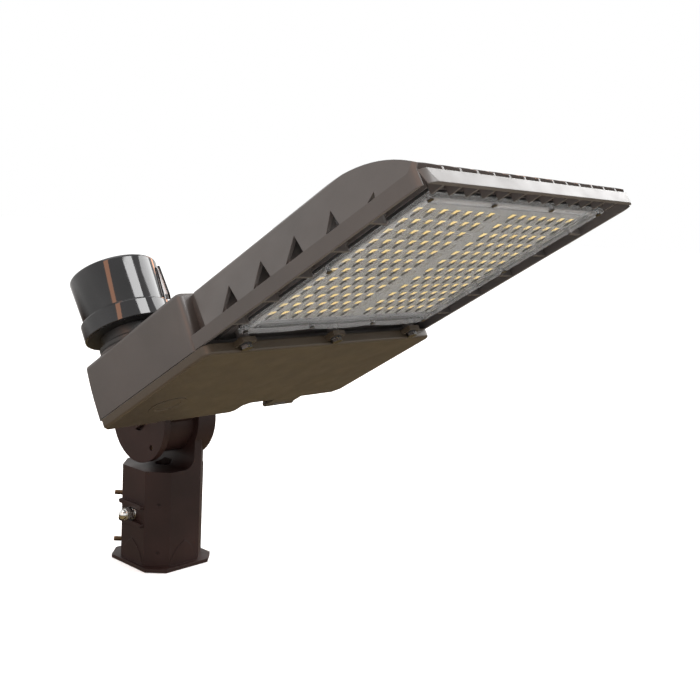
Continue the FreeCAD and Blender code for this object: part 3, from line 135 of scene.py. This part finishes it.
# name, direction from the part, distance, width, height, radiance, colour
LAMPS = (
    ("key_right", (0.80, -0.10, 0.54), 2.2, 1.3, 1.3, 6.2, WHITE),
    ("copper_strip", (0.93, 0.42, 0.36), 2.2, 0.22, 1.4, 6.0, (1.0, 0.42, 0.20)),
    ("front_strip", (0.16, -0.62, 0.77), 2.4, 1.0, 1.1, 12.0, WHITE),
    ("copper_left", (-0.79, -0.27, 0.55), 2.4, 0.35, 2.2, 5.0, (1.0, 0.42, 0.20)),
    ("overhead", (-0.15, 0.1, 1.0), 2.6, 2.0, 2.0, 1.6, WHITE),
)
CAMERA_FROM_PIVOT = Vector((-0.6644, -0.8894, 0.2315))
CAMERA_FORWARD = Vector((0.7335, 0.6671, -0.1306))
CAMERA_RIGHT = Vector((0.6770, -0.7342, 0.0520))
CAMERA_LENS = 49.3
CAMERA_SENSOR = 36
CAMERA_CLIP = 200


# ---------------------------------------------------------------- materials
def wire(tree, source, target):
    """Join an output to an input."""
    tree.links.new(source, target)


def noise(tree, scale, detail=3.0, stretch=(1, 1, 1)):
    """Solid noise in the object's own coordinates, with features of about 1/scale metres."""
    place = tree.nodes.new("ShaderNodeTexCoord")
    mapping = tree.nodes.new("ShaderNodeMapping")
    mapping.inputs["Scale"].default_value = stretch
    texture = tree.nodes.new("ShaderNodeTexNoise")
    texture.inputs["Scale"].default_value = scale
    texture.inputs["Detail"].default_value = detail
    wire(tree, place.outputs["Object"], mapping.inputs["Vector"])
    wire(tree, mapping.outputs["Vector"], texture.inputs["Vector"])
    return texture.outputs["Fac"]


def ramp(tree, value, stops):
    """Colours along a value."""
    node = tree.nodes.new("ShaderNodeValToRGB")
    elements = node.color_ramp.elements
    while len(elements) < len(stops):
        elements.new(0.5)
    for element, (position, colour) in zip(elements, stops):
        element.position = position
        element.color = (*colour, 1)
    wire(tree, value, node.inputs["Fac"])
    return node.outputs["Color"]


def spread(tree, value, low, high):
    """Map the middle of a noise value to a range of numbers."""
    node = tree.nodes.new("ShaderNodeMapRange")
    node.inputs["From Min"].default_value = NOISE_MIDDLE[0]
    node.inputs["From Max"].default_value = NOISE_MIDDLE[1]
    node.inputs["To Min"].default_value = low
    node.inputs["To Max"].default_value = high
    wire(tree, value, node.inputs["Value"])
    return node.outputs["Result"]


def finish(name, dark, light, rough, grain=900, relief=0.1, edge=0.5, patch=14,
           stretch=(1, 1, 1), **sockets):
    """Shader with mottled colour, uneven gloss, fine grain and edges softened by edge mm."""
    material = bpy.data.materials.new(name)
    material.use_nodes = True
    tree = material.node_tree
    shader = tree.nodes["Principled BSDF"]
    colour = ramp(tree, noise(tree, patch), tuple(zip(PATCH_MIDDLE, (dark, light))))
    wire(tree, colour, shader.inputs["Base Color"])
    gloss = noise(tree, patch * GLOSS_PATCHES)
    wire(tree, spread(tree, gloss, rough - GLOSS_SPREAD, rough + GLOSS_SPREAD),
         shader.inputs["Roughness"])
    soft = tree.nodes.new("ShaderNodeBevel")
    soft.samples = BEVEL_SAMPLES
    soft.inputs["Radius"].default_value = edge * MM
    bump = tree.nodes.new("ShaderNodeBump")
    bump.inputs["Strength"].default_value = relief
    bump.inputs["Distance"].default_value = BUMP_DEPTH
    wire(tree, noise(tree, grain, 2.0, stretch), bump.inputs["Height"])
    wire(tree, soft.outputs["Normal"], bump.inputs["Normal"])
    wire(tree, bump.outputs["Normal"], shader.inputs["Normal"])
    for socket, value in sockets.items():
        shader.inputs[socket.replace("_", " ")].default_value = value
    return material


def named(name, *looks, **options):
    """A finish after its name: the material's own name changes where the frame already has it."""
    return name, finish(name, *looks, **options)


def paints():
    """Satin paints of the castings, and the photocell's glossy cap."""
    return [
        named("bronze_paint", (0.044, 0.039, 0.036), (0.052, 0.045, 0.041), 0.42, edge=0.9),
        named("fitter_paint", (0.0135, 0.0055, 0.0045), (0.0205, 0.0082, 0.0066), 0.5, edge=0.9,
              Specular_IOR_Level=0.26),
        named("door_paint", (0.036, 0.026, 0.015), (0.040, 0.029, 0.017), 0.46, edge=0.9),
        named("cap_black", (0.004, 0.004, 0.0045), (0.008, 0.008, 0.009), 0.06, grain=160,
              relief=0.005, edge=0.6, patch=20),
    ]


def metals():
    """Fasteners, contacts and the driver's brushed can."""
    return [
        named("screw_steel", (0.10, 0.10, 0.10), (0.17, 0.17, 0.17), 0.3, grain=2500,
              relief=0.05, edge=0.3, patch=120, Metallic=1.0),
        named("bright_zinc", (0.55, 0.55, 0.54), (0.72, 0.72, 0.71), 0.24, grain=2500,
              relief=0.05, edge=0.3, patch=120, Metallic=1.0),
        named("dark_zinc", (0.16, 0.11, 0.07), (0.30, 0.22, 0.14), 0.38, grain=2500,
              relief=0.05, edge=0.2, patch=150, Metallic=1.0),
        named("driver_can", (0.60, 0.60, 0.61), (0.72, 0.72, 0.73), 0.35, grain=400,
              stretch=(1, 12, 12), Metallic=1.0),
        named("contact_brass", (0.58, 0.38, 0.15), (0.75, 0.53, 0.24), 0.28, Metallic=1.0),
    ]


def plastics():
    """Rubber, plastics and circuit boards."""
    return [
        named("seal_rubber", (0.012, 0.012, 0.012), (0.022, 0.022, 0.022), 0.7, patch=60),
        named("black_plastic", (0.008, 0.008, 0.008), (0.016, 0.016, 0.016), 0.42, grain=1600),
        named("terminal_plastic", (0.60, 0.59, 0.54), (0.70, 0.69, 0.64), 0.45),
        named("board_white", (0.055, 0.055, 0.050), (0.085, 0.085, 0.080), 0.4, patch=160),
        named("board_green", (0.012, 0.09, 0.035), (0.03, 0.15, 0.06), 0.4, patch=150),
        # painted glow: a faint emission that brightens the phosphor, standing in for light falling on it
        named("led_yellow", (0.86, 0.60, 0.12), (0.95, 0.72, 0.22), 0.35, patch=90,
              Emission_Color=(1.0, 0.66, 0.14, 1), Emission_Strength=0.12),
    ]


def clears():
    """See-through plastics: the lens, its optics' clear faces and their sides of painted shade and painted
    highlight, and the photocell's window.
    """
    return [
        named("lens_clear", (0.46, 0.47, 0.47), (0.54, 0.55, 0.55), 0.16, grain=300,
              relief=0.05, edge=0.4, patch=45, Alpha=0.16),
        named("optic_clear", (0.62, 0.63, 0.64), (0.72, 0.73, 0.74), 0.08, grain=300,
              relief=0.03, edge=0.2, patch=45, Alpha=0.12, Metallic=0.7),
        # painted shade: a dark, mostly opaque colour on each optic's -X side
        named("optic_painted_shade", (0.030, 0.030, 0.026), (0.055, 0.055, 0.048), 0.3, grain=300,
              relief=0.03, edge=0.2, patch=60, Alpha=0.75),
        # painted highlight: a pale colour on each optic's +X side
        named("optic_painted_highlight", (0.44, 0.43, 0.38), (0.60, 0.59, 0.54), 0.14, grain=300,
              relief=0.03, edge=0.2, patch=60, Alpha=0.55),
        named("window_clear", (0.80, 0.81, 0.83), (0.92, 0.93, 0.94), 0.25, relief=0.03,
              edge=0.3, patch=60, Alpha=0.85),
    ]


def make_materials():
    """Every finish by name: the record's slots, and those that scene pieces use besides."""
    return dict(paints() + metals() + plastics() + clears())


def dress(materials):
    """Give each CAD node the finish of its slot, or the one that the photograph shows."""
    other_finish = {"slip_fitter": "fitter_paint", "knuckle_arm": "fitter_paint",
                    "pivot_bolt": "fitter_paint", "pivot_head_washer": "fitter_paint",
                    "driver_door": "door_paint", "sensor_port_plug": "door_paint",
                    "door_screws": "screw_steel", "lens_screws": "screw_steel"}
    for row in frame["record"]["subparts"]:
        node = row["node"]
        mesh = frame["nodes"][node].data
        mesh.materials.clear()
        mesh.materials.append(materials[other_finish.get(node, row["material_slot"])])


# ---------------------------------------------------------------- meshes
def piece(name, bm, place, body, material, replaces=(), sharp=35):
    """Finish a mesh as a piece that rides on a body."""
    bm.transform(place)
    mesh = bpy.data.meshes.new(name)
    bm.to_mesh(mesh)
    bm.free()
    mesh.shade_smooth()
    mesh.set_sharp_from_angle(angle=math.radians(sharp))
    mesh.materials.append(material)
    thing = bpy.data.objects.new(name, mesh)
    bpy.context.scene.collection.objects.link(thing)
    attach(thing, body)
    if replaces:
        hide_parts(*replaces)
    return thing


def bridge(bm, first, second):
    """Faces between two rings of vertices, either of which may be a single point."""
    count = max(len(first), len(second))
    for number in range(count):
        after = (number + 1) % count
        corners = [first[number % len(first)], first[after % len(first)],
                   second[after % len(second)], second[number % len(second)]]
        bm.faces.new(list(dict.fromkeys(corners)))


def circle(bm, radius, height, segments):
    """Ring of vertices about Z, or a single one where the radius is 0."""
    if radius == 0:
        return [bm.verts.new((0, 0, height))]
    angles = [2 * math.pi * step / segments for step in range(segments)]
    return [bm.verts.new((radius * math.cos(a), radius * math.sin(a), height)) for a in angles]


def arc(centre, radius, start, end, steps=6):
    """Points of an arc from one angle to another, in degrees."""
    angles = [math.radians(start + (end - start) * step / steps) for step in range(steps + 1)]
    return [(centre[0] + radius * math.cos(a), centre[1] + radius * math.sin(a)) for a in angles]


def led_places():
    """Middle of each LED in width and length."""
    return [(LED_PITCH[0] * column, LED_FRONT + LED_PITCH[1] * row)
            for column in LED_COLUMNS for row in range(LED_ROWS)]


def make_cap(material):
    """Glossy cap of the photocell, with its stepped skirt."""
    top, skirt_top = SEAT + CAP_TALL, SEAT + SKIRT_TALL
    top_centre = (CAP_HIGH_RADIUS - CAP_ROUNDING, top - CAP_ROUNDING)
    skirt_centre = (SKIRT_RADIUS - SKIRT_ROUNDING, skirt_top - SKIRT_SLOPE - SKIRT_ROUNDING)
    profile = [(0, top)]
    profile += reversed(arc(top_centre, CAP_ROUNDING, 0, 90))
    profile += [(CAP_LOW_RADIUS, skirt_top)]
    profile += reversed(arc(skirt_centre, SKIRT_ROUNDING, 0, 60))
    profile += [(SKIRT_RADIUS, SEAT + SKIRT_LIP), (SKIRT_RADIUS - SKIRT_LIP, SEAT),
                (SKIRT_RADIUS - CAP_WALL, SEAT), (SKIRT_RADIUS - CAP_WALL, skirt_top - SKIRT_CEILING),
                (CAP_LOW_RADIUS - CAP_WALL, skirt_top - CAP_STEP),
                (CAP_HIGH_RADIUS - CAP_WALL, top - CAP_WALL), (0, top - CAP_WALL)]
    bm = bmesh.new()
    rings = [circle(bm, radius, height, CAP_SEGMENTS) for radius, height in profile]
    for first, second in zip(rings, rings[1:]):
        bridge(bm, first, second)
    bmesh.ops.recalc_face_normals(bm, faces=bm.faces)
    piece("cap_shell", bm, CELL, "photocell", material, ["photocell_cap"])


def optic_ring(bm, middle, reach, rise):
    """Ring of a dome's vertices on a rounded square, or its tip where the reach is 0."""
    ring = []
    for step in range(OPTIC_SEGMENTS if reach else 1):
        angle = 2 * math.pi * step / OPTIC_SEGMENTS
        c, s = math.cos(angle), math.sin(angle)
        powers = abs(c) ** OPTIC_SQUARENESS + abs(s) ** OPTIC_SQUARENESS
        out = reach / powers ** (1 / OPTIC_SQUARENESS)
        ring.append(bm.verts.new(middle + Vector((OPTIC_HALF[0] * out * c, OPTIC_HALF[1] * out * s,
                                                  -OPTIC_TALL * rise))))
    return ring


def make_optics(clear, painted_shade, painted_highlight):
    """Moulded optic over each LED: a dome with painted shade along its -X side and a painted highlight along its
    +X side.
    """
    bm = bmesh.new()
    for x, y in led_places():
        middle = Vector((x, y, OPTIC_PLATE))
        rings = [optic_ring(bm, middle, reach, rise) for reach, rise in OPTIC_PROFILE]
        for first, second in zip(rings, rings[1:]):
            bridge(bm, second, first)
    for face in bm.faces:
        cell = face.calc_center_median().x / LED_PITCH[0]
        side = (cell - round(cell)) * LED_PITCH[0] / OPTIC_HALF[0]
        # faces on the -X side get the painted shade, those on the +X side the painted highlight
        face.material_index = 1 if side < OPTIC_PAINTED_SHADE_SIDE else 2 if side > OPTIC_PAINTED_HIGHLIGHT_SIDE else 0
    optics = piece("lens_optics", bm, HEAD, "head", clear, sharp=60)
    optics.data.materials.append(painted_shade)
    optics.data.materials.append(painted_highlight)


def make_leds(phosphor, body):
    """LED packages: a square body with a bulging phosphor window."""
    square, point = ((-1, -1), (1, -1), (1, 1), (-1, 1)), ((0, 0),)
    bm = bmesh.new()
    for x, y in led_places():
        rings = [[bm.verts.new((x + a * reach, y + b * reach, LED_BOARD - rise * LED_TALL))
                  for a, b in (square if reach else point)]
                 for reach, rise in LED_PROFILE]
        for first, second in zip(rings, rings[1:]):
            bridge(bm, second, first)
    window_level = LED_BOARD - LED_FRAME_RISE * LED_TALL - 0.01 * MM
    for face in bm.faces:
        face.material_index = int(face.calc_center_median().z < window_level)
    packages = piece("led_packages", bm, HEAD, "head", body, ["leds"], sharp=20)
    packages.data.materials.append(phosphor)


def thread(bm, radius, start, end):
    """Threaded rod along Z with a chamfered, socketed end."""
    rows = int((end - start) / THREAD_PITCH * THREAD_STEPS)
    rings = []
    for row in range(rows + 1):
        height = start + (end - start) * row / rows
        fade = min(1.0, (end - height) / THREAD_PITCH)
        narrowing = 1 - THREAD_CHAMFER + THREAD_CHAMFER * fade
        ring = []
        for step in range(THREAD_SEGMENTS):
            turn = step / THREAD_SEGMENTS
            phase = (height / THREAD_PITCH - turn) % 1
            reach = (radius - THREAD_DEPTH * abs(2 * phase - 1)) * narrowing
            angle = 2 * math.pi * turn
            ring.append(bm.verts.new((reach * math.cos(angle), reach * math.sin(angle), height)))
        rings.append(ring)
    for reach, height in zip(SET_SOCKET, (end, end - SET_SOCKET_DEEP)):
        rings.append(circle(bm, radius * reach, height, THREAD_SEGMENTS))
    for first, second in zip(rings, rings[1:]):
        bridge(bm, first, second)
    bm.faces.new(rings[-1])
    bm.faces.new(list(reversed(rings[0])))


def make_set_screws(material):
    """Four threaded set screws that grip the pole's tenon."""
    outward = Matrix.Rotation(math.radians(90), 4, "Y")
    bm = bmesh.new()
    for heading in SET_HEADINGS:
        turn = Matrix.Rotation(math.radians(heading), 4, "Z") @ outward
        for level in SET_LEVELS:
            one = bmesh.new()
            thread(one, SET_RADIUS, *SET_REACH)
            one.transform(Matrix.Translation((0, 0, level)) @ turn)
            mesh = bpy.data.meshes.new("set_screw")
            one.to_mesh(mesh)
            one.free()
            bm.from_mesh(mesh)
            bpy.data.meshes.remove(mesh)
    piece("threaded_set_screws", bm, Matrix.Identity(4), "fitter", material,
          ["tenon_set_screws"])


# ---------------------------------------------------------------- studio
def make_floor():
    """Wide pale floor under the fitter's flange."""
    bm = bmesh.new()
    bmesh.ops.create_grid(bm, x_segments=1, y_segments=1, size=FLOOR_HALF)
    mesh = bpy.data.meshes.new("floor")
    bm.to_mesh(mesh)
    bm.free()
    mesh.materials.append(finish("floor_white", (0.86, 0.86, 0.86), (0.88, 0.88, 0.88), 0.9,
                                 relief=0, Emission_Color=(1, 1, 1, 1),
                                 Emission_Strength=FLOOR_GLOW))
    floor = bpy.data.objects.new("floor", mesh)
    floor.location.z = CAD_BOX[0].z - FLOOR_DROP
    floor.visible_glossy = False
    bpy.context.scene.collection.objects.link(floor)


def make_world():
    """White backdrop; the light from it is soft white above and a dim warm brown below."""
    world = bpy.data.worlds.new("studio")
    bpy.context.scene.world = world
    world.use_nodes = True
    tree = world.node_tree
    backdrop = tree.nodes["Background"]
    backdrop.inputs["Color"].default_value = (1, 1, 1, 1)
    backdrop.inputs["Strength"].default_value = 1.0
    place = tree.nodes.new("ShaderNodeTexCoord")
    split = tree.nodes.new("ShaderNodeSeparateXYZ")
    wire(tree, place.outputs["Generated"], split.inputs["Vector"])
    height = tree.nodes.new("ShaderNodeMapRange")
    height.inputs["From Min"].default_value = -1
    wire(tree, split.outputs["Z"], height.inputs["Value"])
    glow = tree.nodes.new("ShaderNodeBackground")
    wire(tree, ramp(tree, height.outputs["Result"], SKY), glow.inputs["Color"])
    path = tree.nodes.new("ShaderNodeLightPath")
    mix = tree.nodes.new("ShaderNodeMixShader")
    wire(tree, path.outputs["Is Camera Ray"], mix.inputs["Fac"])
    wire(tree, glow.outputs["Background"], mix.inputs[1])
    wire(tree, backdrop.outputs["Background"], mix.inputs[2])
    wire(tree, mix.outputs["Shader"], tree.nodes["World Output"].inputs["Surface"])


def softbox(name, direction, distance, width, height, radiance, colour):
    """Rectangular lamp that faces the part."""
    data = bpy.data.lights.new(name, "AREA")
    data.shape = "RECTANGLE"
    data.size, data.size_y = width, height
    data.energy = radiance * math.pi * width * height
    data.color = colour
    lamp = bpy.data.objects.new(name, data)
    aim = (CAD_BOX[0] + CAD_BOX[1]) / 2
    away = Vector(direction).normalized()
    lamp.location = aim + away * distance
    lamp.rotation_euler = away.to_track_quat("Z", "Y").to_euler()
    lamp.visible_camera = False
    bpy.context.scene.collection.objects.link(lamp)


def make_camera():
    """Camera in front of the nose and to the left of it, at the photograph's angle."""
    forward = CAMERA_FORWARD.normalized()
    right = (CAMERA_RIGHT - forward * CAMERA_RIGHT.dot(forward)).normalized()
    up = right.cross(forward)
    turn = Matrix((right, up, -forward)).transposed().to_4x4()
    data = bpy.data.cameras.new("camera")
    data.lens = CAMERA_LENS
    data.sensor_width = CAMERA_SENSOR
    data.clip_end = CAMERA_CLIP
    camera = bpy.data.objects.new("camera", data)
    camera.matrix_world = Matrix.Translation(PIVOT + CAMERA_FROM_PIVOT) @ turn
    bpy.context.scene.collection.objects.link(camera)
    bpy.context.scene.camera = camera


def make_studio():
    """Floor, backdrop, lamps and camera."""
    make_floor()
    make_world()
    for lamp in LAMPS:
        softbox(*lamp)
    make_camera()
    view = bpy.context.scene.view_settings
    view.view_transform = "Standard"
    view.look = "None"


# ---------------------------------------------------------------- build
finishes = make_materials()
dress(finishes)
make_cap(finishes["cap_black"])
make_leds(finishes["led_yellow"], finishes["board_white"])
make_optics(finishes["optic_clear"], finishes["optic_painted_shade"], finishes["optic_painted_highlight"])
make_set_screws(finishes["dark_zinc"])
make_studio()
